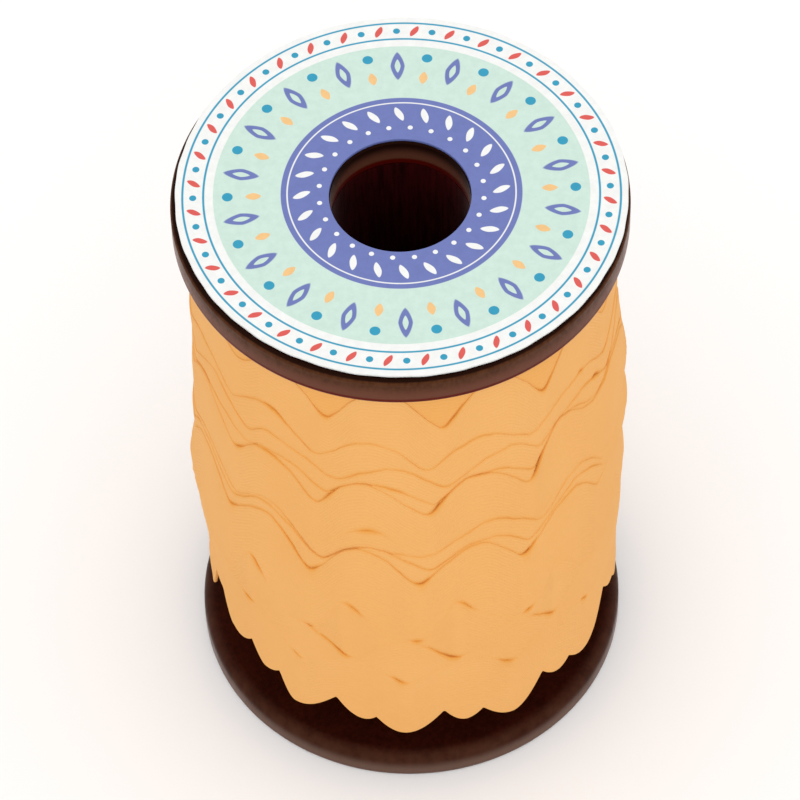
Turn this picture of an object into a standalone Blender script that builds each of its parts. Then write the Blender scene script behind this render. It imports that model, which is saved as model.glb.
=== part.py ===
"""Ric rac trim wound on a turned wooden spool with a paper label on its top face.

Units are metres and +Z is up. The spool stands on its bottom flange, with the origin
under its axis. The front of the roll, where its wraps were measured, is at -Y.
"""
import math

import bmesh
import bpy

# Spool
SPOOL_HEIGHT = 0.1016
FLANGE_RADIUS = 0.032
FLANGE_THICKNESS = 0.0049
FLANGE_ROUNDING = 0.0022
FLANGE_ARRIS = 0.0004
HOLE_RADIUS = 0.0098
BARREL_RADIUS = 0.0145
LABEL_RADIUS = 0.0315
LABEL_HOLE_RADIUS = 0.0100
LABEL_THICKNESS = 0.0003
FIT_GAP = 0.0003
SPOOL_STEPS = 96
BARREL_STEPS = 48
ROUNDING_STEPS = 5

# Winding
WAVES_PER_TURN = 12
WAVE_STRETCH = 0.4
WAVE_POINT_SOFTNESS = 0.10
COLUMNS = 144
WINDING_END_RADIUS = 0.0306
WINDING_BULGE = 0.0012
WRAP_SWELL = 0.00025
EDGE_ROUNDING = 0.0003
EDGE_TOP_CLEARANCE = 0.0012
FOOT_RADIUS = 0.0235
LEDGE_RADIUS = 0.0248
LEDGE_RISE = 0.0010

# The wavy upper edge of each outer wrap, from the lowest wrap up: its mean height, the
# angle of one of its troughs near the front, its height from trough to crest, and how
# far it stands proud of the wrap above, which it overlaps.
WRAP_EDGES = (
    # height, trough angle in degrees, wave height, step
    (0.0270, -91.0, 0.0052, 0.0003),
    (0.0342, -78.0, 0.0054, 0.0004),
    (0.0426, -83.0, 0.0056, 0.0004),
    (0.0568, -88.0, 0.0066, 0.0009),
    (0.0600, -85.0, 0.0066, 0.0009),
    (0.0724, -85.0, 0.0064, 0.0012),
    (0.0780, -80.0, 0.0050, 0.0008),
    (0.0832, -86.0, 0.0058, 0.0009),
    (0.0932, -82.0, 0.0060, 0.0009),
)

# The scalloped lower edges of the two lowest wraps, which hang half a wave apart.
HEM_EDGES = (
    # height of the tips, angle of one tip in degrees, depth of the notches
    (0.0098, -105.0, 0.0060),
    (0.0084, -92.5, 0.0064),
)

# Heights worked out from the sizes above
FLANGE_TOP_FACE = SPOOL_HEIGHT - LABEL_THICKNESS - FIT_GAP
FLANGE_TOP_UNDERSIDE = FLANGE_TOP_FACE - FLANGE_THICKNESS
BARREL_BOTTOM = FLANGE_THICKNESS + FIT_GAP
BARREL_TOP = FLANGE_TOP_UNDERSIDE - FIT_GAP


def clear_scene():
    """Remove whatever the file holds."""
    for item in list(bpy.data.objects):
        bpy.data.objects.remove(item, do_unlink=True)


def make_collection(name):
    """Make a collection for the parts and link it to the scene."""
    collection = bpy.data.collections.new(name)
    bpy.context.scene.collection.children.link(collection)
    return collection


def make_material(name, colour, roughness):
    """Make a plain Principled material."""
    material = bpy.data.materials.new(name)
    material.use_nodes = True
    shader = material.node_tree.nodes["Principled BSDF"]
    shader.inputs["Base Color"].default_value = (*colour, 1.0)
    shader.inputs["Roughness"].default_value = roughness
    shader.inputs["Metallic"].default_value = 0.0
    material.diffuse_color = (*colour, 1.0)
    return material


def turned_piece(name, profile, steps, material, collection):
    """Turn a closed profile of (radius, height) points once round the Z axis.

    The profile runs down its outer side, inwards along its bottom and up its bore.
    """
    mesh = bpy.data.meshes.new(name)
    points = [(radius, 0.0, height) for radius, height in profile]
    edges = [(i, (i + 1) % len(points)) for i in range(len(points))]
    mesh.from_pydata(points, edges, [])
    piece = bpy.data.objects.new(name, mesh)
    collection.objects.link(piece)
    screw = piece.modifiers.new("Turn", 'SCREW')
    screw.axis = 'Z'
    screw.angle = math.tau
    screw.steps = steps
    screw.render_steps = steps
    screw.use_merge_vertices = True
    screw.merge_threshold = 0.00001
    screw.use_smooth_shade = True
    mesh.materials.append(material)
    return piece


def flange_profile(outer_face, inner_face):
    """Section of a flange, whose inner face meets the trim and has the rounded edge.

    outer_face and inner_face are the heights of its two flat faces.
    """
    up = 1.0 if inner_face > outer_face else -1.0
    centre_radius = FLANGE_RADIUS - FLANGE_ROUNDING
    centre_height = inner_face - up * FLANGE_ROUNDING
    section = [(HOLE_RADIUS, inner_face)]
    for i in range(ROUNDING_STEPS + 1):
        angle = math.radians(90.0) * (1.0 - i / ROUNDING_STEPS)
        radius = centre_radius + FLANGE_ROUNDING * math.cos(angle)
        height = centre_height + up * FLANGE_ROUNDING * math.sin(angle)
        section.append((radius, height))
    section.append((FLANGE_RADIUS, outer_face + up * FLANGE_ARRIS))
    section.append((FLANGE_RADIUS - FLANGE_ARRIS, outer_face))
    section.append((HOLE_RADIUS, outer_face))
    return section if up > 0.0 else section[::-1]


def tube_profile(inner_radius, outer_radius, bottom, top):
    """Section of a plain ring or tube."""
    return [(outer_radius, top), (outer_radius, bottom), (inner_radius, bottom), (inner_radius, top)]


def wave_phase(angle, still_angle):
    """Phase of the ric rac's wave at an angle, nil at still_angle.

    The waves lie a little closer at the front than at the back, by WAVE_STRETCH.
    """
    turned = angle - still_angle
    stretch = WAVE_STRETCH * (math.cos(angle) - math.cos(still_angle))
    return WAVES_PER_TURN * turned + stretch


def pointed_wave(phase):
    """Wave from 0 at its pointed trough to 1 at its round crest."""
    soft = WAVE_POINT_SOFTNESS
    value = math.sqrt(math.sin(0.5 * phase) ** 2 + soft ** 2)
    return (value - soft) / (math.sqrt(1.0 + soft ** 2) - soft)


def upper_edge(row, angle):
    """Height of a wrap's upper edge, kept below the top flange."""
    mean, trough, wave_height, _ = row
    wave = pointed_wave(wave_phase(angle, math.radians(trough)))
    return min(mean + wave_height * (wave - 0.5), BARREL_TOP - EDGE_TOP_CLEARANCE)


def hem_edge(angle):
    """Height of the scalloped hem: the lower of the two lowest wraps' edges."""
    heights = []
    for tip_height, tip, depth in HEM_EDGES:
        notch = math.radians(tip) + math.pi / WAVES_PER_TURN
        wave = pointed_wave(wave_phase(angle, notch))
        heights.append(tip_height + depth * (1.0 - wave))
    return min(heights)


def body_radius(height):
    """Radius of the wound body, fullest half way up."""
    share = (height - BARREL_BOTTOM) / (BARREL_TOP - BARREL_BOTTOM)
    return WINDING_END_RADIUS + WINDING_BULGE * math.sin(math.pi * min(max(share, 0.0), 1.0))


def winding_section(angle):
    """Closed section of the winding at an angle, from its foot up its outer side."""
    hem = hem_edge(angle)
    section = [
        (BARREL_RADIUS + FIT_GAP, BARREL_BOTTOM),
        (FOOT_RADIUS, BARREL_BOTTOM),
        (LEDGE_RADIUS, hem + LEDGE_RISE),
        (body_radius(hem) - 2.0 * EDGE_ROUNDING, hem),
        (body_radius(hem), hem + EDGE_ROUNDING),
    ]
    below = hem
    for row in WRAP_EDGES:
        edge = upper_edge(row, angle)
        middle = 0.5 * (below + edge)
        step = row[3]
        section.append((body_radius(middle) + WRAP_SWELL, middle))
        section.append((body_radius(edge) + 0.5 * step, edge - EDGE_ROUNDING))
        section.append((body_radius(edge) - 0.5 * step, edge + EDGE_ROUNDING))
        below = edge
    section.append((body_radius(BARREL_TOP), BARREL_TOP))
    section.append((BARREL_RADIUS + FIT_GAP, BARREL_TOP))
    return section


def make_winding(material, collection):
    """Loft the winding's sections, one for each column round the axis, into one closed ring."""
    name = "ric_rac_winding"
    built = bmesh.new()
    columns = []
    for column in range(COLUMNS):
        angle = math.tau * column / COLUMNS
        points = [(r * math.cos(angle), r * math.sin(angle), z) for r, z in winding_section(angle)]
        columns.append([built.verts.new(point) for point in points])
    count = len(columns[0])
    for column, ring in enumerate(columns):
        following = columns[(column + 1) % COLUMNS]
        for i in range(count):
            j = (i + 1) % count
            built.faces.new((ring[i], following[i], following[j], ring[j]))
    mesh = bpy.data.meshes.new(name)
    built.to_mesh(mesh)
    built.free()
    mesh.shade_smooth()
    mesh.set_sharp_from_angle(angle=math.radians(50.0))
    mesh.materials.append(material)
    winding = bpy.data.objects.new(name, mesh)
    collection.objects.link(winding)
    return winding


clear_scene()
parts = make_collection("ric_rac_roll")

stained_wood = make_material("stained_wood", (0.085, 0.045, 0.030), 0.42)
printed_paper = make_material("printed_paper", (0.62, 0.76, 0.70), 0.60)
apricot_braid = make_material("apricot_braid", (0.87, 0.47, 0.18), 0.85)

turned_piece(
    "flange_bottom",
    flange_profile(0.0, FLANGE_THICKNESS),
    SPOOL_STEPS, stained_wood, parts,
)
turned_piece(
    "flange_top",
    flange_profile(FLANGE_TOP_FACE, FLANGE_TOP_UNDERSIDE),
    SPOOL_STEPS, stained_wood, parts,
)
turned_piece(
    "spool_barrel",
    tube_profile(HOLE_RADIUS, BARREL_RADIUS, BARREL_BOTTOM, BARREL_TOP),
    BARREL_STEPS, stained_wood, parts,
)
turned_piece(
    "paper_label",
    tube_profile(LABEL_HOLE_RADIUS, LABEL_RADIUS, SPOOL_HEIGHT - LABEL_THICKNESS, SPOOL_HEIGHT),
    SPOOL_STEPS, printed_paper, parts,
)
make_winding(apricot_braid, parts)
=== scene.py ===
import bpy
import numpy as np
from mathutils import Matrix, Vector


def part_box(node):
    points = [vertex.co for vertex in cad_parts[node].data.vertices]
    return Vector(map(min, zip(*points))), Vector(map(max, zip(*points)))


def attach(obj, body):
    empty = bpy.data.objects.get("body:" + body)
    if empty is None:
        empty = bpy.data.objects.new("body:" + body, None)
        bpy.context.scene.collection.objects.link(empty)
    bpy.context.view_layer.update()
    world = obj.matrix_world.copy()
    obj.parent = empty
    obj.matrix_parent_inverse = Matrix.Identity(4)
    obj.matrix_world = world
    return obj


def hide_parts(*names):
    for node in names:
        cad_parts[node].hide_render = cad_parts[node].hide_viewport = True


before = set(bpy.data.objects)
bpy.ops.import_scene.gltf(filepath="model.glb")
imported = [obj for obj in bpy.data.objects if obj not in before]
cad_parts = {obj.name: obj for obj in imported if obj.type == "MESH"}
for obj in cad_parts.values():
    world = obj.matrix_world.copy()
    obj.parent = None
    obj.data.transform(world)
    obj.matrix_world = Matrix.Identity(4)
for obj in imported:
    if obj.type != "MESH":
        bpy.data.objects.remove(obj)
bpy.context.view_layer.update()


# Turned wooden spool
# Three turned pieces of dark stained wood: a bored barrel and two flanges glued on its
# ends. Each flange is rounded over where it faces the trim, the bottom one more fully, and
# has a crisp outer arris.

BASE_ROUNDING = 0.0022
TOP_ROUNDING = 0.0010
FLANGE_ARRIS = 0.00045
BORE_CHAMFER = 0.00035
TURNED_STEPS = 288


def grid_piece(name, points, round_along, round_across, uv=None, values=None):
    """Mesh a grid of points (along, across, xyz) with quads, facing outwards when along
    runs anticlockwise seen from above and across runs up the outer side.

    round_along and round_across say whether the last row or column meets the first. uv
    has one entry more than points where it is round. values are named point attributes.
    """
    rows, columns = points.shape[:2]
    index = np.arange(rows * columns).reshape(rows, columns)
    if round_along:
        index = np.vstack([index, index[:1]])
    if round_across:
        index = np.hstack([index, index[:, :1]])
    quads = np.stack([index[:-1, :-1], index[1:, :-1], index[1:, 1:], index[:-1, 1:]], -1)
    faces = quads.reshape(-1, 4).tolist()
    ends = [] if round_along else [index[0, :columns].tolist(), index[-1, :columns][::-1].tolist()]
    capped = ends if round_across else []
    mesh = bpy.data.meshes.new(name)
    mesh.from_pydata(points.reshape(-1, 3).tolist(), [], faces + capped)
    if uv is not None:
        corners = np.stack([uv[:-1, :-1], uv[1:, :-1], uv[1:, 1:], uv[:-1, 1:]], 2)
        flat = np.zeros((len(mesh.loops), 2))
        flat[:corners.size // 2] = corners.reshape(-1, 2)
        mesh.uv_layers.new(name="tape").data.foreach_set("uv", flat.ravel())
    for key, value in (values or {}).items():
        layer = mesh.attributes.new(key, 'FLOAT', 'POINT')
        layer.data.foreach_set("value", value.astype(np.float32).ravel())
    mesh.update()
    mesh.shade_smooth()
    mesh.set_sharp_from_angle(angle=np.radians(40.0))
    piece = bpy.data.objects.new(name, mesh)
    bpy.context.scene.collection.objects.link(piece)
    return piece


def arc(centre_radius, centre_height, size, start, stop, steps):
    """Points (radius, height) on a circle of a size about a centre, from start to stop degrees."""
    angle = np.radians(np.linspace(start, stop, steps))
    return np.stack([centre_radius + size * np.cos(angle), centre_height + size * np.sin(angle)], 1)


def turned(name, profile, steps=TURNED_STEPS):
    """Carry a closed profile of (radius, height) points once round the Z axis.

    x = radius cos angle, y = radius sin angle, z = height. The profile runs up its outer side.
    """
    angle = np.linspace(0.0, 2.0 * np.pi, steps, endpoint=False)[:, None]
    radius, height = profile[None, :, 0], profile[None, :, 1]
    points = np.stack([radius * np.cos(angle), radius * np.sin(angle), height + 0.0 * angle], -1)
    return grid_piece(name, points, True, True)


def flange_profile(bore, rim, bottom, top, low_rounding, high_rounding):
    """Closed flange section with its rim's lower and upper corners rounded over and a
    chamfer at both ends of the bore."""
    low = arc(rim - low_rounding, bottom + low_rounding, low_rounding, -90.0, 0.0, 12)
    high = arc(rim - high_rounding, top - high_rounding, high_rounding, 0.0, 90.0, 12)
    bore_side = np.array([
        (bore + BORE_CHAMFER, top),
        (bore, top - BORE_CHAMFER),
        (bore, bottom + BORE_CHAMFER),
        (bore + BORE_CHAMFER, bottom),
    ])
    return np.vstack([low, high, bore_side])


def node(tree, kind, inputs=None, **settings):
    """Add a node, set its properties, and give its inputs values or other nodes' sockets."""
    made = tree.nodes.new(kind)
    for key, value in settings.items():
        setattr(made, key, value)
    for key, value in (inputs or {}).items():
        if isinstance(value, bpy.types.NodeSocket):
            tree.links.new(value, made.inputs[key])
        else:
            made.inputs[key].default_value = value
    return made


def calc(tree, operation, first, second=0.0, third=0.0):
    """One step of arithmetic on numbers or sockets."""
    return node(tree, "ShaderNodeMath", {0: first, 1: second, 2: third}, operation=operation).outputs[0]


def between(tree, value, low, high, out_low=0.0, out_high=1.0):
    """Map a value smoothly from the span low..high to out_low..out_high."""
    span = {"Value": value, "From Min": low, "From Max": high, "To Min": out_low, "To Max": out_high}
    return node(tree, "ShaderNodeMapRange", span, interpolation_type='SMOOTHSTEP').outputs[0]


def noise(tree, vector, scale, detail=3.0, roughness=0.55, stretch=None):
    """Noise from 0 to 1, with the coordinates stretched first where stretch is given."""
    if stretch is not None:
        drawn = node(tree, "ShaderNodeVectorMath", {0: vector, 1: stretch}, operation='MULTIPLY')
        vector = drawn.outputs[0]
    settings = {"Vector": vector, "Scale": scale, "Detail": detail, "Roughness": roughness}
    return node(tree, "ShaderNodeTexNoise", settings).outputs["Fac"]


def blend(tree, factor, first, second, blend_type='MIX'):
    """Mix two colours by a factor."""
    mix = node(tree, "ShaderNodeMix", data_type='RGBA', blend_type=blend_type)
    for socket, value in ((0, factor), (6, first), (7, second)):
        if isinstance(value, bpy.types.NodeSocket):
            tree.links.new(value, mix.inputs[socket])
        else:
            mix.inputs[socket].default_value = value if socket == 0 else (*value, 1.0)
    return mix.outputs[2]


def new_group(name, inputs, outputs):
    """Start a shader node group with named sockets; returns the tree, its inputs and its end."""
    tree = bpy.data.node_groups.new(name, "ShaderNodeTree")
    for label, kind, value in inputs:
        socket = tree.interface.new_socket(label, in_out='INPUT', socket_type=kind)
        if value is not None:
            socket.default_value = value
    for label, kind in outputs:
        tree.interface.new_socket(label, in_out='OUTPUT', socket_type=kind)
    return tree, tree.nodes.new("NodeGroupInput").outputs, tree.nodes.new("NodeGroupOutput").inputs


def use_group(tree, group, inputs):
    """Place a node group in a material with its own values; returns its outputs."""
    return node(tree, "ShaderNodeGroup", inputs, node_tree=group).outputs


def new_material(name):
    """Make a node material; returns it, its tree, its shader and its Object coordinates."""
    material = bpy.data.materials.new(name)
    material.use_nodes = True
    tree = material.node_tree
    shader = tree.nodes["Principled BSDF"]
    return material, tree, shader, tree.nodes.new("ShaderNodeTexCoord").outputs["Object"]


def stained_wood_group():
    """Grain, mottling and lathe marks of a stained piece turned with its grain along Z.

    Grain is fine noise drawn out along Z by one over Grain Squeeze, Mottle is broad noise
    where the stain took unevenly, and Height adds the pores to faint rings left by the lathe.
    """
    tree, given, result = new_group(
        "turned_wood_grain",
        [
            ("Vector", 'NodeSocketVector', None), ("Grain Scale", 'NodeSocketFloat', 1500.0),
            ("Grain Squeeze", 'NodeSocketFloat', 0.09),
        ],
        [("Grain", 'NodeSocketFloat'), ("Mottle", 'NodeSocketFloat'), ("Height", 'NodeSocketFloat')],
    )
    squeeze = node(tree, "ShaderNodeCombineXYZ", {"X": 1.0, "Y": 1.0, "Z": given["Grain Squeeze"]})
    streak = noise(tree, given["Vector"], given["Grain Scale"], 4.0, 0.6, stretch=squeeze.outputs[0])
    grain = between(tree, streak, 0.34, 0.66)
    pores = between(tree, streak, 0.40, 0.30)
    mottle = noise(tree, given["Vector"], 160.0, 4.0, 0.6, stretch=(1.0, 1.0, 0.5))
    rings = node(tree, "ShaderNodeTexWave", {
        "Vector": given["Vector"], "Scale": 520.0, "Distortion": 0.6, "Detail": 1.0,
    }, wave_type='RINGS', rings_direction='Z').outputs["Fac"]
    height = calc(tree, 'MULTIPLY_ADD', rings, 0.25, calc(tree, 'MULTIPLY', pores, -0.9))
    tree.links.new(grain, result["Grain"])
    tree.links.new(between(tree, mottle, 0.30, 0.70), result["Mottle"])
    tree.links.new(height, result["Height"])
    return tree


wood_grain = stained_wood_group()


def wood_material(name, deep, warm, rim_highlight, rim_low, rim_high, roughness, squeeze=0.09, bands=()):
    """Stained wood: deep stain on warm grain, with a painted highlight, in patches, from
    radius rim_low to rim_high.

    Each band is (coordinate, where it starts, where it is full, colour), and its coordinate
    is "Z" for the height or "R" for the radius: its colour is laid over the wood there.
    """
    material, tree, shader, place = new_material(name)
    wood = use_group(tree, wood_grain, {"Vector": place, "Grain Squeeze": squeeze})
    flat = node(tree, "ShaderNodeVectorMath", {0: place, 1: (1.0, 1.0, 0.0)}, operation='MULTIPLY')
    radius = node(tree, "ShaderNodeVectorMath", {0: flat.outputs[0]}, operation='LENGTH').outputs["Value"]
    patchy = between(tree, noise(tree, place, 420.0, 3.0, 0.6), 0.25, 0.75, 0.35, 1.0)
    # Painted highlight on the rim: lighter, in patches, from radius rim_low to rim_high.
    rim_highlight_mask = calc(tree, 'MULTIPLY', between(tree, radius, rim_low, rim_high), patchy)
    tone = calc(tree, 'MULTIPLY_ADD', wood["Grain"], 0.55, calc(tree, 'MULTIPLY', wood["Mottle"], 0.45))
    colour = blend(tree, tone, deep, warm)
    colour = blend(tree, calc(tree, 'MULTIPLY', rim_highlight_mask, 0.6), colour, rim_highlight)
    level = {"Z": node(tree, "ShaderNodeSeparateXYZ", {0: place}).outputs["Z"], "R": radius}
    # Each band's colour, called stain here, is painted shade, a painted highlight or a plain tone, as noted
    # where the bands are given.
    for coordinate, start, full, stain in bands:
        colour = blend(tree, between(tree, level[coordinate], start, full), colour, stain)
    tree.links.new(colour, shader.inputs["Base Color"])
    sheen = between(tree, tone, 0.0, 1.0, roughness + 0.10, roughness - 0.04)
    tree.links.new(sheen, shader.inputs["Roughness"])
    bump = node(tree, "ShaderNodeBump", {"Height": wood["Height"], "Strength": 0.35, "Distance": 0.00006})
    tree.links.new(bump.outputs["Normal"], shader.inputs["Normal"])
    shader.inputs["Specular IOR Level"].default_value = 0.045
    shader.inputs["Sheen Weight"].default_value = 0.25
    shader.inputs["Sheen Tint"].default_value = (1.0, 0.90, 0.86, 1.0)
    shader.inputs["Sheen Roughness"].default_value = 0.25
    shader.inputs["Specular Tint"].default_value = (1.0, 0.52, 0.34, 1.0)
    return material


top_low, top_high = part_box("flange_top")
base_low, base_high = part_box("flange_bottom")
bore_radius = 0.0098
barrel_radius = 0.0145

flange_bottom = turned("spool_flange_bottom", flange_profile(
    bore_radius, base_high.x, base_low.z, base_high.z, FLANGE_ARRIS, BASE_ROUNDING,
))
# The bottom flange's stain is a darker, redder copy of the top flange's: painted shade. Its rim carries the
# painted highlight from 30 mm out.
flange_bottom.data.materials.append(wood_material(
    "stained_wood_base_shaded", (0.014, 0.0020, 0.0010), (0.031, 0.0052, 0.0024), (0.074, 0.029, 0.016),
    0.0300, 0.0318, 0.36, 0.09, (
        # Painted highlight: lighter and greyer below 3.6 mm, along the flange's lower side.
        ("Z", 0.0036, 0.0012, (0.120, 0.066, 0.048)),
    ),
))
flange_top = turned("spool_flange_top", flange_profile(
    bore_radius, top_high.x, top_low.z, top_high.z, TOP_ROUNDING, FLANGE_ARRIS,
))
flange_top.data.materials.append(wood_material(
    "stained_wood_top", (0.030, 0.0080, 0.0026), (0.092, 0.0320, 0.0135), (0.080, 0.030, 0.013),
    0.0316, 0.0320, 0.38, 0.55, (
        # Painted shadow of the label's edge: near black on the wood inside 31.6 mm, fading out by 31.9 mm.
        ("R", 0.0319, 0.0316, (0.012, 0.0030, 0.0016)),
        # Lighter towards the lower part of the flange's side.
        ("Z", top_low.z + 0.0042, top_low.z + 0.0018, (0.118, 0.040, 0.023)),
        # Painted shade: a dark red line along the flange's rounded lower edge, next to the trim.
        ("Z", top_low.z + 0.0015, top_low.z + 0.0010, (0.085, 0.0030, 0.0008)),
    ),
))
barrel = turned("spool_barrel_turned", np.array([
    (barrel_radius, base_high.z), (barrel_radius, top_low.z),
    (bore_radius, top_low.z), (bore_radius, base_high.z),
]))
barrel.data.materials.append(wood_material(
    "stained_wood_bore", (0.014, 0.0008, 0.0010), (0.060, 0.0040, 0.0050), (0.060, 0.0040, 0.0050),
    0.0400, 0.0500, 0.60,
))
turned_pieces = ((flange_bottom, "flange_bottom"), (flange_top, "flange_top"), (barrel, "spool_barrel"))
for piece, cad_node in turned_pieces:
    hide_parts(cad_node)
    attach(piece, "root")


# Printed paper label
# A thin coated paper disc glued on the top flange, cut slightly off its centre and
# punched round the bore. Its print is plain rings of leaves, beads and dots.

LABEL_OUTLINE = 0.0315
LABEL_SHIFT = (0.0002, 0.0005)
LABEL_HOLE = 0.0099
LABEL_LIFT = 0.00012

label_low, label_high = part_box("paper_label")


def paper_disc(name):
    """Closed paper ring as a grid of angle and section.

    Each section point moves straight from the hole's circle, about the axis, to the
    outline's circle, about the shifted centre. The edge lifts here and there from its glue.
    """
    share = np.concatenate([[0.0], np.linspace(0.002, 0.998, 24), [1.0]])
    share_round = np.concatenate([share, share[::-1]])[None, :]
    bottom, top = label_low.z - 0.0002, label_high.z - 0.00002
    edge_drop = 0.00006 * (np.minimum(share, 1.0 - share) < 0.001)
    height_low = np.full_like(share, bottom) + edge_drop
    height_high = (np.full_like(share, top) - edge_drop)[::-1]
    height = np.concatenate([height_low, height_high])[None, :]
    angle = np.linspace(0.0, 2.0 * np.pi, 360, endpoint=False)[:, None]
    ragged = 0.00003 * np.sin(17.0 * angle + 1.0) + 0.00003 * np.sin(41.0 * angle)
    radius = LABEL_HOLE + (LABEL_OUTLINE + ragged - LABEL_HOLE) * share_round
    lifting = np.clip(np.sin(3.0 * angle + 0.6) * np.sin(5.0 * angle), 0.0, 1.0)
    lift = LABEL_LIFT * share_round ** 12 * lifting
    x = radius * np.cos(angle) + LABEL_SHIFT[0] * share_round
    y = radius * np.sin(angle) + LABEL_SHIFT[1] * share_round
    return grid_piece(name, np.stack([x, y, height + lift], -1), True, True)


def print_band_group():
    """Mask of a printed ring: 1 between two radii about the Vector's origin."""
    tree, given, result = new_group(
        "printed_ring",
        [
            ("Vector", 'NodeSocketVector', None),
            ("Inner", 'NodeSocketFloat', 0.01), ("Outer", 'NodeSocketFloat', 0.02),
        ],
        [("Mask", 'NodeSocketFloat')],
    )
    radius = node(tree, "ShaderNodeVectorMath", {0: given["Vector"]}, operation='LENGTH').outputs["Value"]
    soft = 0.00006
    inside = between(tree, calc(tree, 'SUBTRACT', radius, given["Inner"]), -soft, soft)
    outside = between(tree, calc(tree, 'SUBTRACT', given["Outer"], radius), -soft, soft)
    tree.links.new(calc(tree, 'MULTIPLY', inside, outside), result["Mask"])
    return tree


def print_motif_group():
    """Mask of one small shape repeated round a ring.

    Count shapes lie on the circle Radius, turned on by Turn of a step. Each is where
    (distance along the ring / Half Width)^Power + (distance across it / Half Length)^Power < 1,
    so a Power of 2 gives beads and a smaller one gives pointed leaves.
    """
    tree, given, result = new_group(
        "printed_motifs",
        [
            ("Vector", 'NodeSocketVector', None), ("Count", 'NodeSocketFloat', 12.0),
            ("Radius", 'NodeSocketFloat', 0.02), ("Turn", 'NodeSocketFloat', 0.0),
            ("Half Width", 'NodeSocketFloat', 0.001), ("Half Length", 'NodeSocketFloat', 0.001),
            ("Power", 'NodeSocketFloat', 2.0), ("Slant", 'NodeSocketFloat', 0.0),
        ],
        [("Mask", 'NodeSocketFloat')],
    )
    parts = node(tree, "ShaderNodeSeparateXYZ", {0: given["Vector"]}).outputs
    radius = node(tree, "ShaderNodeVectorMath", {0: given["Vector"]}, operation='LENGTH').outputs["Value"]
    turns = calc(tree, 'DIVIDE', calc(tree, 'ARCTAN2', parts["Y"], parts["X"]), 2.0 * np.pi)
    place = calc(tree, 'FRACT', calc(tree, 'MULTIPLY_ADD', turns, given["Count"], given["Turn"]))
    step = calc(tree, 'DIVIDE', calc(tree, 'MULTIPLY', radius, 2.0 * np.pi), given["Count"])
    across = calc(tree, 'SUBTRACT', radius, given["Radius"])
    along = calc(tree, 'MULTIPLY', calc(tree, 'SUBTRACT', place, 0.5), step)
    along = calc(tree, 'MULTIPLY_ADD', across, given["Slant"], along)
    wide = calc(tree, 'ABSOLUTE', calc(tree, 'DIVIDE', along, given["Half Width"]))
    wide = calc(tree, 'POWER', wide, given["Power"])
    long = calc(tree, 'ABSOLUTE', calc(tree, 'DIVIDE', across, given["Half Length"]))
    long = calc(tree, 'POWER', long, given["Power"])
    tree.links.new(between(tree, calc(tree, 'ADD', wide, long), 1.12, 0.88), result["Mask"])
    return tree


def label_material():
    """Coated paper with rings of colour and small motifs, a white cut edge and faint fibre."""
    material, tree, shader, place = new_material("printed_paper")
    flat = node(tree, "ShaderNodeVectorMath", {
        0: place, 1: (1.0, 1.0, 0.0), 2: (-LABEL_SHIFT[0], -LABEL_SHIFT[1], 0.0),
    }, operation='MULTIPLY_ADD').outputs[0]
    band, motif = print_band_group(), print_motif_group()
    white = (0.86, 0.86, 0.84)
    mint = (0.578, 0.752, 0.658)
    periwinkle = (0.134, 0.172, 0.448)
    teal = (0.010, 0.305, 0.480)
    coral = (0.700, 0.085, 0.070)
    honey = (0.860, 0.520, 0.210)
    rings = (
        # inner radius, outer radius, ink
        (0.0168, 0.0262, mint),
        (0.0, 0.0168, periwinkle),
        (0.0274, 0.0277, teal),
        (0.0303, 0.0306, teal),
        (0.0158, 0.0160, white),
    )
    colour = white
    for inner, outer, ink in rings:
        mask = use_group(tree, band, {"Vector": flat, "Inner": inner, "Outer": outer})["Mask"]
        colour = blend(tree, mask, colour, ink)
    motifs = (
        # count, radius, turn, half width, half length, power, slant, ink
        (36.0, 0.0290, 0.0, 0.00050, 0.00095, 1.6, 0.45, coral),
        (36.0, 0.0290, 0.5, 0.00050, 0.00050, 2.0, 0.0, teal),
        (18.0, 0.0226, 0.0, 0.00100, 0.00250, 1.4, 0.0, periwinkle),
        (18.0, 0.0226, 0.0, 0.00042, 0.00120, 1.4, 0.0, mint),
        (18.0, 0.0242, 0.5, 0.00075, 0.00075, 2.0, 0.0, teal),
        (18.0, 0.0206, 0.5, 0.00060, 0.00110, 1.5, 0.0, honey),
        (24.0, 0.0139, 0.5, 0.00055, 0.00120, 1.6, -0.4, white),
        (24.0, 0.0115, 0.0, 0.00036, 0.00036, 2.0, 0.0, white),
    )
    for count, radius, turn, half_width, half_length, power, slant, ink in motifs:
        mask = use_group(tree, motif, {
            "Vector": flat, "Count": count, "Radius": radius, "Turn": turn,
            "Half Width": half_width, "Half Length": half_length, "Power": power, "Slant": slant,
        })["Mask"]
        colour = blend(tree, mask, colour, ink)
    edge = node(tree, "ShaderNodeVectorMath", {0: flat}, operation='LENGTH').outputs["Value"]
    rubbed = calc(tree, 'MULTIPLY_ADD', noise(tree, place, 900.0, 4.0, 0.6), 0.0005, edge)
    cut_edge = between(tree, rubbed, LABEL_OUTLINE + 0.00012, LABEL_OUTLINE + 0.00022)
    colour = blend(tree, cut_edge, colour, white)
    uneven = between(tree, noise(tree, place, 700.0, 5.0, 0.7), 0.3, 0.7)
    soiling = blend(tree, uneven, (0.93, 0.93, 0.93), (1.0, 1.0, 1.0))
    colour = blend(tree, 1.0, colour, soiling, 'MULTIPLY')
    tree.links.new(colour, shader.inputs["Base Color"])
    fibre = noise(tree, place, 3500.0, 4.0, 0.6)
    tree.links.new(between(tree, fibre, 0.3, 0.7, 0.46, 0.60), shader.inputs["Roughness"])
    bump = node(tree, "ShaderNodeBump", {"Height": fibre, "Strength": 0.25, "Distance": 0.00003})
    tree.links.new(bump.outputs["Normal"], shader.inputs["Normal"])
    return material


label = paper_disc("printed_label")
label.data.materials.append(label_material())
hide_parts("paper_label")
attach(label, "root")


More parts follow.
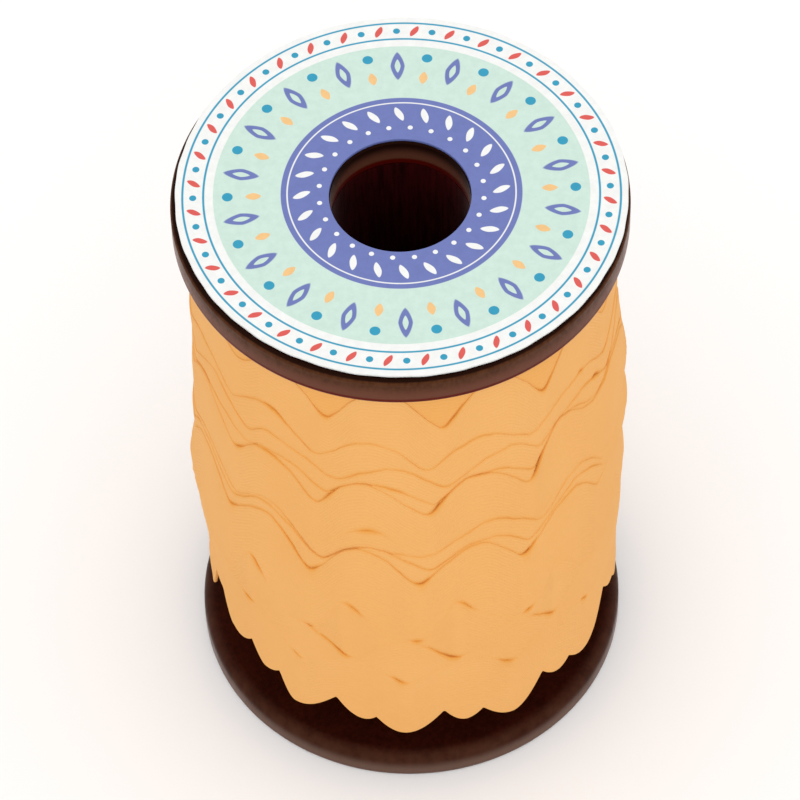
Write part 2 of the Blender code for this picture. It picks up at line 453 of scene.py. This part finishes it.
# Wound core of ric rac
# The inner wraps of the same cotton braid, packed round the barrel. Only their lower
# ends show, under the hem: stepped scallops that draw in towards the bottom flange.

WAVES = 12
FRONT = -84.0
COLUMNS_A_WAVE = 50
TAPE_THICKNESS = 0.0005
LIP_POINTS = 8
WOUND_RADIUS = 0.031
CLOTH_TOP = 0.0957

turn_angles = np.radians(np.linspace(FRONT - 180.0, FRONT + 180.0, WAVES * COLUMNS_A_WAVE + 1))


def pointed_wave(phase, softness):
    """Wave from 0 at its trough, where phase is a whole turn, to 1 at its crest.

    It is the square root of (sine of half the phase, squared, plus softness squared),
    brought to the span 0..1, so a small softness gives a pointed trough.
    """
    value = np.sqrt(np.sin(0.5 * phase) ** 2 + softness ** 2)
    return (value - softness) / (np.sqrt(1.0 + softness ** 2) - softness)


def tape_edge(first, turning_points, softness, pointed_low=True, irregular=0.00025, seed=1):
    """Height of one wrap's wavy edge at turn_angles.

    turning_points are (angle in degrees, height in millimetres) of troughs and crests in
    turn, from the one numbered first: even numbers are troughs and 0 is the one at the
    front. The rest of the turn carries on at the same pitch, slightly irregular. The
    troughs are the pointed ends where pointed_low, and the crests otherwise.
    """
    number = np.arange(-WAVES, WAVES + 1)
    known = first + np.arange(len(turning_points))
    angles, heights = np.array(turning_points).T
    random = np.random.default_rng(seed)
    place = np.interp(number, [-WAVES, *known, WAVES], [FRONT - 180.0, *angles, FRONT + 180.0])
    trough, crest = heights[known % 2 == 0].mean(), heights[known % 2 == 1].mean()
    height = np.where(number % 2 == 0, trough, crest) * 0.001
    height += irregular * random.standard_normal(len(number))
    guessed = ~np.isin(number, [-WAVES, *known, WAVES])
    place += 0.8 * guessed * random.standard_normal(len(number))
    height[known + WAVES] = heights * 0.001
    height[-1] = height[0]
    turn = np.degrees(turn_angles)
    phase = np.interp(turn, place, np.pi * number)
    low = np.interp(turn, place[::2], height[::2])
    high = np.interp(turn, place[1::2], height[1::2])
    share = pointed_wave(phase, softness) if pointed_low else 1.0 - pointed_wave(phase + np.pi, softness)
    return low + (high - low) * share


# How far the winding stands out, or in, from its even form at its left and its right:
# height and offset in millimetres.
LEFT_LEAN = (
    (9, -0.60), (14, -0.80), (20, -1.00), (26, -1.25), (31, -1.10), (36, -0.70), (41, -0.55),
    (46, -0.75), (50, -0.95), (58, -0.68), (66, -0.45), (75, -0.40), (82, -0.45),
)
RIGHT_LEAN = (
    (9, 0.45), (14, 0.35), (19, 0.00), (24, -0.30), (30, -0.30), (36, -0.40), (42, -0.35),
    (46, -0.50), (50, -0.15), (55, 0.30), (60, 0.25), (65, 0.55), (70, 0.50), (75, 0.10), (80, -0.25),
)
# Points of the ric rac that stand proud: angle in degrees, height and lift in millimetres.
PROUD_POINTS = (
    (180, 79.3, 0.28), (178, 66.0, 0.10), (182, 54.3, 0.22), (180, 41.6, 0.60), (177, 16.0, 0.25),
    (1, 65.0, 0.48), (-2, 55.2, 0.42), (0, 40.6, 0.25), (2, 30.5, 0.12), (92, 47.0, 0.25), (75, 68.0, 0.25),
    (118, 58.0, 0.22), (60, 36.0, 0.25), (105, 30.0, 0.22), (130, 75.0, 0.25), (48, 82.0, 0.22),
)


def body_radius(angle, height):
    """Radius of the wound body: slimmest under the top flange, fullest two fifths up,
    leaning a little to one side, with a slight hand-wound unevenness."""
    millimetres = 1000.0 * height
    swell = 1.45 * np.exp(-(((millimetres - 41.6) / 22.4) ** 2))
    uneven = 0.10 * np.sin(2.0 * angle + 60.0 * height) + 0.07 * np.sin(5.0 * angle - 140.0 * height)
    left = np.interp(millimetres, *np.array(LEFT_LEAN).T) * np.clip(-np.cos(angle), 0.0, 1.0) ** 3
    right = np.interp(millimetres, *np.array(RIGHT_LEAN).T) * np.clip(np.cos(angle), 0.0, 1.0) ** 3
    radius = 30.7 + swell + uneven + left + right
    for place, level, lift in PROUD_POINTS:
        away = (np.degrees(angle) - place + 180.0) % 360.0 - 180.0
        radius = radius + lift * np.exp(-((away / 11.0) ** 2) - ((millimetres - level) / 2.0) ** 2)
    return 0.001 * radius


def tape_section(lower, upper, rows, thickness, radius_at, low_thickness=None):
    """Closed section of a tape for every column, rounded over both edges.

    lower and upper are the edges' heights, rows the heights of the outer face between
    them, thickness the tape's along its upper edge and low_thickness along its lower one,
    all as (columns, ...) arrays; radius_at(heights) is the outer face's radius. Returns
    (columns, section, 2) of radius and height.
    """
    half = 0.5 * thickness[:, None]
    low_half = half if low_thickness is None else 0.5 * low_thickness[:, None]
    over = np.radians(np.linspace(0.0, 180.0, LIP_POINTS))[None, :]
    crown = upper[:, None] - half
    foot = lower[:, None] + low_half
    outer = np.clip(rows, foot, crown)
    share = np.linspace(0.96, 0.04, 4)[None, :]
    inner = share * (crown - foot) + foot
    top_height = crown + half * np.sin(over)
    top_radius = radius_at(crown) - half + half * np.cos(over)
    low_height = foot - low_half * np.sin(over[:, ::-1])
    low_radius = radius_at(foot) - low_half + low_half * np.cos(over[:, ::-1])
    inner_radius = radius_at(inner) - 2.0 * (share * half + (1.0 - share) * low_half)
    radius = np.hstack([radius_at(outer), top_radius, inner_radius, low_radius])
    height = np.hstack([outer, top_height, inner, low_height])
    return np.stack([radius, height], -1)


def wrap_tape(name, angles, section, upper, values, closed):
    """Carry a tape's section round the axis and lay out its map.

    Along the map is the length of the upper edge, across it the depth below that edge, on
    the outer face and on round the back, both in metres.
    """
    if closed:
        angles, section = angles[:-1], section[:-1]
        values = {key: value[:-1] for key, value in values.items()}
    cosine, sine = np.cos(angles)[:, None], np.sin(angles)[:, None]
    points = np.stack([section[..., 0] * cosine, section[..., 0] * sine, section[..., 1]], -1)
    steps = np.hypot(WOUND_RADIUS * np.diff(turn_angles[:2])[0], np.diff(upper))
    along = np.concatenate([[0.0], np.cumsum(steps)])
    ring = np.concatenate([section, section[:, :1]], 1)
    if closed:
        ring = np.concatenate([ring, ring[:1]])
    uv = np.stack([np.broadcast_to(along[:, None], ring.shape[:2]), upper[:, None] - ring[..., 1]], -1)
    return grid_piece(name, points, closed, True, uv, values)


def braid_group():
    """Fine plait of the cotton braid, from its map in metres.

    Ribs run along the tape, one every Rib Pitch across it. Each rib is a row of slanted
    stitches, one every Stitch Pitch, that slant the other way in the next rib. Height is
    the rib's rounded back times its stitches, and Shade, a painted shade, is deep between them.
    """
    tree, given, result = new_group(
        "braid_plait",
        [
            ("Vector", 'NodeSocketVector', None),
            ("Rib Pitch", 'NodeSocketFloat', 0.00075), ("Stitch Pitch", 'NodeSocketFloat', 0.0007),
        ],
        [("Height", 'NodeSocketFloat'), ("Shade", 'NodeSocketFloat'), ("Slub", 'NodeSocketFloat')],
    )
    wobble = noise(tree, given["Vector"], 260.0, 2.0, 0.5)
    parts = node(tree, "ShaderNodeSeparateXYZ", {0: given["Vector"]}).outputs
    across = calc(tree, 'MULTIPLY_ADD', wobble, 0.0005, parts["Y"])
    across = calc(tree, 'DIVIDE', across, given["Rib Pitch"])
    along = calc(tree, 'DIVIDE', parts["X"], given["Stitch Pitch"])
    in_rib = calc(tree, 'SUBTRACT', calc(tree, 'FRACT', across), 0.5)
    side = calc(tree, 'MULTIPLY_ADD', calc(tree, 'MODULO', calc(tree, 'FLOOR', across), 2.0), 2.0, -1.0)
    slanted = calc(tree, 'MULTIPLY_ADD', calc(tree, 'MULTIPLY', in_rib, side), 0.9, along)
    stitch = calc(tree, 'ABSOLUTE', calc(tree, 'SINE', calc(tree, 'MULTIPLY', slanted, np.pi)))
    back = calc(tree, 'SUBTRACT', 1.0, calc(tree, 'MULTIPLY', calc(tree, 'MULTIPLY', in_rib, in_rib), 4.0))
    plain_back = calc(tree, 'MULTIPLY', back, 0.55)
    height = calc(tree, 'MULTIPLY_ADD', calc(tree, 'MULTIPLY', stitch, 0.45), back, plain_back)
    tree.links.new(height, result["Height"])
    tree.links.new(between(tree, height, 0.45, 0.0), result["Shade"])
    tree.links.new(noise(tree, given["Vector"], 900.0, 3.0, 0.6, stretch=(0.25, 1.0, 1.0)), result["Slub"])
    return tree


def braid_material():
    """Apricot cotton: a plait from the tape's own map, with a deeper, more orange painted shade in its
    crevices.
    """
    material, tree, shader, place = new_material("apricot_braid")
    tape = node(tree, "ShaderNodeUVMap", uv_map="tape").outputs["UV"]
    plait = use_group(tree, braid_group(), {"Vector": tape})
    crevice_shade = node(tree, "ShaderNodeAttribute", attribute_name="crevice_shade").outputs["Fac"]
    patches = between(tree, noise(tree, place, 60.0, 2.0, 0.5), 0.3, 0.7)
    colour = blend(tree, patches, (0.765, 0.388, 0.122), (0.775, 0.402, 0.132))
    # Painted shade in the grooves between the plait's stitches.
    colour = blend(tree, calc(tree, 'MULTIPLY', plait["Shade"], 0.45), colour, (0.735, 0.340, 0.086))
    slubs = calc(tree, 'MULTIPLY', between(tree, plait["Slub"], 0.55, 0.8), 0.25)
    colour = blend(tree, slubs, colour, (0.80, 0.43, 0.150))
    # Painted shade, deeper and more orange, along the edges where one wrap lies over the next and on the
    # tapes' hidden faces.
    colour = blend(tree, calc(tree, 'MULTIPLY', crevice_shade, 0.85), colour, (0.735, 0.318, 0.055))
    tree.links.new(colour, shader.inputs["Base Color"])
    bump = node(tree, "ShaderNodeBump", {"Height": plait["Height"], "Strength": 0.45, "Distance": 0.00010})
    tree.links.new(bump.outputs["Normal"], shader.inputs["Normal"])
    shader.inputs["Roughness"].default_value = 0.88
    shader.inputs["Specular IOR Level"].default_value = 0.12
    shader.inputs["Sheen Weight"].default_value = 0.06
    shader.inputs["Sheen Tint"].default_value = (1.0, 0.62, 0.30, 1.0)
    shader.inputs["Sheen Roughness"].default_value = 0.5
    return material


apricot_braid = braid_material()

# The hem's two wavy edges: the notches and tips of the outermost wrap and of the one under it.
HEM_SOFTNESS = 0.2
outer_hem = tape_edge(-5, (
    (-159, 27.0), (-151.5, 16.2), (-134.5, 24.3), (-126, 11.1), (-107, 20.0), (-93, 10.1), (-77.5, 18.8),
    (-61, 9.4), (-48.3, 18.9), (-33.5, 11.5), (-21.5, 21.8),
), HEM_SOFTNESS, pointed_low=False, seed=21)
under_hem = tape_edge(-6, (
    (-164, 24.0), (-147, 26.0), (-137, 14.9), (-120, 26.0), (-104.5, 13.2), (-90, 26.0), (-75.5, 12.0),
    (-60, 23.8), (-45, 13.0), (-30, 26.0), (-13, 16.2),
), HEM_SOFTNESS, pointed_low=False, seed=22)
# Round the back the under wrap repeats the outer one half a wave on, and 2 mm higher.
behind = np.clip((np.abs(np.degrees(turn_angles) - FRONT) - 85.0) / 12.0, 0.0, 1.0)
half_wave_on = np.roll(outer_hem[:-1], COLUMNS_A_WAVE // 2)
under_hem += behind * (np.append(half_wave_on, half_wave_on[0]) + 0.002 - under_hem)
hem = np.minimum(outer_hem, under_hem)

core_profile = np.array([
    (0.0235, base_high.z + 0.0003), (0.0236, 0.0075), (0.0240, 0.0140), (0.0290, 0.0200), (0.0294, 0.0300),
    (0.0300, 0.0420), (0.0290, 0.0700), (0.0290, CLOTH_TOP - 0.0004), (0.0286, CLOTH_TOP),
    (0.0148, CLOTH_TOP), (0.0148, base_high.z + 0.0003),
])
core = turned("ric_rac_core", core_profile, 192)
core.data.materials.append(apricot_braid)

BRAID_STACK = 0.0006
INNER_TOP = 0.0240
INNER_LEAN = 0.0012
SIGHT_SLOPE = 0.62 * 1.39
HEM_SIGHT_RADIUS = 0.0306
HEM_RISE = 0.0022
inner_wraps = (
    # radius, drop of its hem below a line that slopes with the camera's sight from the outer
    # hem, turn of its waves in columns
    (0.0291, 0.0012, 3),
    (0.0273, 0.0006, -5),
    (0.0256, 0.0004, 6),
    (0.0243, -0.0004, -3),
)


def inner_wrap(name, wrap_radius, drop, shift):
    """One inner wrap, whose hem repeats the outer one turned on by a few columns, lower
    the deeper it lies, and which leans out over its first 12 mm."""
    rolled = np.roll(hem[:-1], -shift)
    rolled = np.append(rolled, rolled[0])
    lower = rolled - SIGHT_SLOPE * (HEM_SIGHT_RADIUS - wrap_radius) - drop + HEM_RISE
    lower = np.maximum(lower, base_high.z + 0.0005)
    upper = np.full_like(lower, INNER_TOP)
    rows = lower[:, None] + (upper - lower)[:, None] * np.linspace(0.0, 1.0, 9)[None, :]
    section = tape_section(
        lower, upper, rows, np.full_like(lower, BRAID_STACK),
        lambda height: wrap_radius + INNER_LEAN * np.clip((height - lower[:, None]) / 0.012, 0.0, 1.0),
    )
    # The inner wraps, recessed under the hem, carry an even painted shade.
    shaded = {"crevice_shade": np.full(section.shape[:2], 0.25)}
    piece = wrap_tape(name, turn_angles, section, upper, shaded, True)
    piece.data.materials.append(apricot_braid)
    return piece


inner_pieces = [core]
for wrap_number, row in enumerate(inner_wraps):
    inner_pieces.append(inner_wrap(f"ric_rac_inner_wrap_{wrap_number + 1}", *row))


# Outer wraps of ric rac
# One long tape of flat cotton ric rac wound up the spool in thirteen turns. Each turn
# lies over the foot of the next one up, so their wavy upper edges show one above the other.

wrap_table = (
    # first number, pointed at its troughs, step, gape in millimetres, turning points
    (-4, True, 0.02, 0.00, (
        (-152, 27.2), (-137, 30.7), (-122, 25.0), (-107, 30.1), (-92, 24.8),
        (-77, 30.1), (-61.5, 24.5), (-48, 30.7), (-34, 25.9),
    )),
    (-4, True, 0.02, 0.00, (
        (-139, 32.3), (-122, 36.5), (-107.5, 30.6), (-93, 36.8),
        (-78, 30.9), (-64, 36.8), (-49, 31.7), (-36, 37.1),
    )),
    (-4, False, 0.02, 0.00, (
        (-150, 36.5), (-137.5, 45.6), (-118, 35.9), (-108.5, 45.6),
        (-89, 36.8), (-78.8, 46.0), (-58, 37.2), (-49, 45.6),
    )),
    (-4, True, 0.12, 0.03, (
        (-146, 52.9), (-131, 58.8), (-117.5, 51.1), (-103, 59.3), (-88, 51.6),
        (-72, 58.8), (-59.5, 52.1), (-42, 59.3), (-31, 54.1),
    )),
    (-4, True, 0.12, 0.03, (
        (-145, 56.1), (-131, 61.2), (-114, 54.9), (-100, 59.7),
        (-85.2, 54.8), (-70, 59.3), (-57, 55.1), (-40, 60.9),
    )),
    (-2, True, 0.11, 0.03, (
        (-114, 54.1), (-101, 58.6), (-86.5, 58.2), (-70, 63.4), (-53, 58.1), (-39, 63.4), (-28, 58.3),
    )),
    (-2, True, 0.02, 0.00, (
        (-115, 58.6), (-101, 64.1), (-86, 58.9), (-70, 62.6), (-56, 58.6),
    )),
    (-4, True, 0.12, 0.03, (
        (-143, 68.9), (-130, 74.1), (-115.2, 67.9), (-103, 74.8), (-85.5, 68.1),
        (-73, 75.1), (-56.3, 68.5), (-45, 77.8), (-29, 73.7),
    )),
    (-4, True, 0.11, 0.03, (
        (-138, 72.9), (-126, 74.8), (-112, 70.9), (-98, 74.6), (-83.5, 70.3),
        (-71, 74.9), (-54.5, 70.8), (-42, 77.2), (-28, 73.7),
    )),
    (-5, True, 0.11, 0.03, (
        (-152, 81.3), (-137, 76.2), (-129, 79.1), (-109.5, 74.8), (-94, 78.9),
        (-80.5, 74.0), (-63, 79.1), (-53, 75.3), (-36, 78.9),
    )),
    (-4, True, 0.11, 0.03, (
        (-143, 81.3), (-130, 85.8), (-115, 79.4), (-99, 84.7),
        (-85, 78.6), (-70.5, 83.9), (-55.5, 79.1), (-37, 83.6),
    )),
    (-4, True, 0.11, 0.03, (
        (-139, 91.9), (-126, 97.0), (-111.5, 89.3), (-97, 96.9),
        (-81, 88.1), (-67, 96.6), (-51.5, 87.7), (-38, 97.0),
    )),
    (-2, True, 0.10, 0.00, ((-114, 98.0), (-99, 99.0), (-84, 98.0))),
)

# Where an edge stands open: wrap number, angle, half width in degrees, extra gape in millimetres.
# The back of the roll repeats them half a turn round.
open_places = (
    (0, -123.5, 1.4, 0.25), (0, -94.0, 2.0, 0.45), (0, -64.0, 2.4, 0.45), (0, -35.5, 1.6, 0.40),
    (1, -140.0, 2.0, 0.40), (1, -114.5, 4.0, 0.30), (1, -109.5, 2.0, 0.50), (1, -84.0, 4.0, 0.25),
    (1, -80.0, 2.4, 0.65), (1, -54.5, 3.2, 0.25), (1, -50.5, 1.8, 0.50),
    (2, -135.0, 2.2, 0.40), (2, -105.5, 2.2, 0.35), (2, -76.0, 2.2, 0.32), (2, -118.5, 1.3, 0.40),
    (2, -89.0, 1.4, 0.45), (2, -58.0, 1.4, 0.45),
    (3, -145.0, 2.0, 0.30), (3, -116.5, 2.0, 0.40), (3, -87.0, 1.8, 0.40), (3, -58.0, 2.0, 0.55),
    (6, -101.0, 3.4, 0.35),
    (7, -141.0, 2.0, 0.30), (7, -111.0, 1.6, 0.45), (7, -82.5, 1.8, 0.55), (7, -54.0, 1.4, 0.65),
    (9, -28.5, 1.6, 0.50), (10, -36.5, 1.0, 0.30), (10, -127.0, 3.0, 0.25),
    (11, -111.5, 2.6, 0.30), (11, -78.0, 3.0, 0.35), (11, -51.5, 2.6, 0.30),
    (8, -94.0, 4.0, 0.12), (9, -104.0, 4.0, 0.14), (7, -128.0, 4.0, 0.14), (3, -123.0, 4.0, 0.14),
)

EDGE_SOFTNESS = 0.22
# The painted shade along an edge is full where its step reaches FULL_PAINT_STEP, and also where its opening
# reaches FULL_PAINT_OPENING.
FULL_PAINT_STEP = 0.00022
FULL_PAINT_OPENING = 0.00035
LIFT_SHARE = 0.45
DIP_REACH = 0.00055
LIFT_REACH = 0.0016
STEP_EASE = 0.006
OVERLAP = 0.0030
LEAST_SHOWING = 0.0024

wrap_count = len(wrap_table)
edges = np.array([
    np.minimum(tape_edge(first, points, EDGE_SOFTNESS, pointed_low, seed=number), CLOTH_TOP)
    for number, (first, pointed_low, step, gape, points) in enumerate(wrap_table)
])
degrees = np.degrees(turn_angles)
steps = np.array([np.full_like(degrees, row[2]) for row in wrap_table]) * 0.001
gapes = np.array([np.full_like(degrees, row[3]) for row in wrap_table]) * 0.001
# Strength of the painted shade along each edge, from its step and a slow waviness.
paints = np.zeros_like(gapes)
random = np.random.default_rng(5)
for wrap in range(wrap_count):
    waviness = np.zeros_like(turn_angles)
    for waves in (7, 13, 23, 37, 61):
        waviness += np.sin(waves * turn_angles + random.uniform(0.0, 2.0 * np.pi)) / waves ** 0.5
    gapes[wrap] *= np.clip(1.0 + 1.1 * waviness, 0.15, 2.6)
    paints[wrap] = steps[wrap] / FULL_PAINT_STEP * np.clip(1.0 + 0.5 * waviness, 0.45, 1.7)
    jitter = np.zeros_like(turn_angles)
    for waves in (31, 53, 97, 151):
        jitter += np.sin(waves * turn_angles + random.uniform(0.0, 2.0 * np.pi)) / waves
    edges[wrap] += np.where(edges[wrap] < CLOTH_TOP, 0.0035 * jitter, 0.0)
opens = np.zeros_like(gapes)
for wrap, place, half_width, extra in open_places:
    away = (degrees - place + 90.0) % 180.0 - 90.0
    opens[wrap] += 0.001 * extra * np.exp(-((away / half_width) ** 2))
gapes += LIFT_SHARE * opens

# The lower edges lie flat, and hardly show, round the right of the roll.
flat = np.clip((degrees + 32.0) / 6.0, 0.0, 1.0) * np.clip((25.0 - degrees) / 20.0, 0.0, 1.0)
for table in (steps, gapes, opens, paints):
    table[3:6] *= 1.0 - 0.9 * flat

# Round the back, each turn passes into the next one up: over the last 70 degrees on
# either side its edge, step and gape move half way to those of its neighbour. The first
# and the last go round unchanged, and the second starts by diving under the first.
passing = np.clip((np.abs(degrees - FRONT) - 110.0) / 70.0, 0.0, 1.0) ** 2
rising = degrees > FRONT
for table in (edges, steps, gapes, opens, paints):
    kept = table.copy()
    following = np.vstack([kept[1:], kept[-1:]])
    previous = np.vstack([kept[:1], kept[:-1]])
    table += 0.5 * passing * (np.where(rising, following, previous) - kept)
    table[0], table[-1] = kept[0], kept[-1]
    if table is edges:
        diving = kept[0] - 0.002
        table[1] = np.where(rising, table[1], kept[1] + passing * (diving - kept[1]))


def tape_radius_at(wrap):
    """Radius of a wrap's outer face at given heights, (columns, rows).

    It is the body's radius, less one step for each lower wrap that covers it, easing off
    over 6 mm above that wrap's edge, less a narrow dip where the edge gapes, plus a lift
    of its own and of each covered wrap's edge where that stands open.
    """
    def radius_at(height):
        radius = body_radius(turn_angles[:, None], height)
        for lower_wrap in range(max(0, wrap - 5), wrap):
            above = height - edges[lower_wrap][:, None]
            ease = (1.0 - np.clip(above / STEP_EASE, 0.0, 1.0)) ** 2
            radius = radius - steps[lower_wrap][:, None] * ease
            radius = radius - gapes[lower_wrap][:, None] * np.exp(-((above / DIP_REACH) ** 2))
        for upper_wrap in range(wrap, min(wrap + 3, wrap_count)):
            below = edges[upper_wrap][:, None] - height
            open_lift = LIFT_SHARE * gapes[upper_wrap][:, None] * np.exp(-((below / LIFT_REACH) ** 2))
            radius = radius + open_lift
        return radius
    return radius_at


def outer_wrap(wrap, lower=None):
    """Section and painted shade values of one turn of the outer tape.

    The painted shade is up to 1 along each edge that shows and falls off within half a
    millimetre of it, more widely where the edge stands open, and is even on the tape's hidden
    back. A wrap with a lower edge of its own, the hem, has that edge at the tape's full thickness.
    """
    upper = edges[wrap]
    radius_at = tape_radius_at(wrap)
    if lower is None:
        covering = np.minimum(edges[wrap - 1], upper - LEAST_SHOWING)
        lower = covering - OVERLAP
        low_thickness = None
    else:
        covering = lower + OVERLAP
        low_thickness = np.full_like(lower, TAPE_THICKNESS)
    near = covering[:, None] + 0.001 * np.array([-2.8, -1.0, -0.4, 0.0, 0.2, 0.4, 0.7, 1.1, 1.6])[None, :]
    share = np.linspace(0.0, 1.0, 7)[None, 1:]
    far = near[:, -1:] + (upper[:, None] - 0.0006 - near[:, -1:]) * share
    rows = np.sort(np.hstack([lower[:, None] + 0.0001, near, far, upper[:, None] - 0.0003]), axis=1)
    thickness = np.full_like(upper, TAPE_THICKNESS)
    section = tape_section(lower, upper, rows, thickness, radius_at, low_thickness)
    # Painted shade along each edge that shows, wider where it stands open.
    crevice_shade = np.zeros(section.shape[:2])
    for edge in range(max(0, wrap - 3), wrap + 1):
        away = section[..., 1] - edges[edge][:, None] - 0.0001
        depth = np.clip(paints[edge] + opens[edge] / FULL_PAINT_OPENING, 0.0, 1.0)[:, None]
        reach = (0.00036 + 0.9 * opens[edge])[:, None]
        crevice_shade = np.maximum(crevice_shade, depth * np.exp(-((away / reach) ** 2)))
    # The last turn, at the top under the flange, carries painted shade all over, 0.45 at least.
    if wrap == wrap_count - 1:
        crevice_shade = np.maximum(crevice_shade, 0.45)
    # Painted shade on the tape's back and lower lip: full on every turn but the first, whose lip is the hem
    # and takes 0.3.
    outer_rows = rows.shape[1]
    crevice_shade[:, outer_rows + LIP_POINTS:] = 1.0 if low_thickness is None else 0.3
    return section, crevice_shade


outer_pieces = []
first_section, first_crevice = outer_wrap(0, hem)
outer_pieces.append(wrap_tape(
    "ric_rac_wrap_first", turn_angles, first_section, edges[0], {"crevice_shade": first_crevice}, True,
))

for part_name, first_wrap, last_wrap in (("low", 1, 4), ("middle", 5, 8), ("high", 9, 12)):
    sections, crevices, uppers, angles = [], [], [], []
    for wrap in range(first_wrap, last_wrap + 1):
        section, crevice_shade = outer_wrap(wrap)
        keep = slice(0, None) if wrap == last_wrap else slice(0, -1)
        sections.append(section[keep])
        crevices.append(crevice_shade[keep])
        uppers.append(edges[wrap][keep])
        angles.append(turn_angles[keep])
    outer_pieces.append(wrap_tape(
        f"ric_rac_wraps_{part_name}", np.concatenate(angles), np.concatenate(sections),
        np.concatenate(uppers), {"crevice_shade": np.concatenate(crevices)}, False,
    ))

for piece in outer_pieces:
    piece.data.materials.append(apricot_braid)
for piece in inner_pieces + outer_pieces:
    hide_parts("ric_rac_winding")
    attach(piece, "root")


# Floor, light and camera
# A plain pale floor under soft studio light from a white surround, a panel high over the
# front and a broader, stronger one low in front. The camera looks down at the front.

FLOOR_SIZE = 8.0
CAMERA_TARGET = np.array([-0.00088, 0.0, 0.05278])
CAMERA_DISTANCE = 0.7442
CAMERA_ELEVATION = 0.94834
CAMERA_ROLL = -0.03006
CAMERA_LENS = 228.5

floor = bpy.data.objects.new("studio_floor", bpy.data.meshes.new("studio_floor"))
reach = FLOOR_SIZE / 2.0
corners = [(-reach, -reach, 0.0), (reach, -reach, 0.0), (reach, reach, 0.0), (-reach, reach, 0.0)]
floor.data.from_pydata(corners, [], [(0, 1, 2, 3)])
bpy.context.scene.collection.objects.link(floor)
floor_paint, floor_tree, floor_shader, floor_place = new_material("pale_floor")
faint = noise(floor_tree, floor_place, 3.0, 2.0, 0.5)
floor_colour = blend(floor_tree, faint, (0.93, 0.93, 0.93), (0.95, 0.95, 0.95))
floor_tree.links.new(floor_colour, floor_shader.inputs["Base Color"])
floor_shader.inputs["Roughness"].default_value = 0.95
floor_shader.inputs["Specular IOR Level"].default_value = 0.1
floor.data.materials.append(floor_paint)

world = bpy.data.worlds.new("white_surround")
bpy.context.scene.world = world
world.use_nodes = True
world.node_tree.nodes["Background"].inputs["Color"].default_value = (1.0, 1.0, 1.0, 1.0)
world.node_tree.nodes["Background"].inputs["Strength"].default_value = 1.08


def light_panel(name, size, power, place, target):
    """A square soft light at a place, facing a target."""
    lamp = bpy.data.lights.new(name, 'AREA')
    lamp.size = size
    lamp.energy = power
    panel = bpy.data.objects.new(name, lamp)
    bpy.context.scene.collection.objects.link(panel)
    back = np.array(place) - np.array(target)
    back /= np.linalg.norm(back)
    side = np.cross((0.0, 0.0, 1.0), back)
    side /= np.linalg.norm(side)
    turn = np.eye(4)
    turn[:3, 0], turn[:3, 1], turn[:3, 2], turn[:3, 3] = side, np.cross(back, side), back, place
    panel.matrix_world = Matrix(turn.tolist())


ROLL_MIDDLE = (0.0, 0.0, 0.05)
light_panel("panel_above", 0.9, 0.9, (-0.15, -0.75, 1.15), ROLL_MIDDLE)
light_panel("panel_front", 1.3, 2.2, (0.30, -1.35, 0.45), ROLL_MIDDLE)

camera = bpy.data.objects.new("camera", bpy.data.cameras.new("camera"))
bpy.context.scene.collection.objects.link(camera)
camera.data.lens = CAMERA_LENS
camera.data.sensor_width = 36.0
away = np.array([0.0, -np.cos(CAMERA_ELEVATION), np.sin(CAMERA_ELEVATION)])
level = np.array([1.0, 0.0, 0.0])
upright = np.array([0.0, np.sin(CAMERA_ELEVATION), np.cos(CAMERA_ELEVATION)])
pose = np.eye(4)
pose[:3, 0] = np.cos(CAMERA_ROLL) * level + np.sin(CAMERA_ROLL) * upright
pose[:3, 1] = -np.sin(CAMERA_ROLL) * level + np.cos(CAMERA_ROLL) * upright
pose[:3, 2] = away
pose[:3, 3] = CAMERA_TARGET + away * CAMERA_DISTANCE
camera.matrix_world = Matrix(pose.tolist())
bpy.context.scene.camera = camera
bpy.context.scene.view_settings.view_transform = 'Standard'
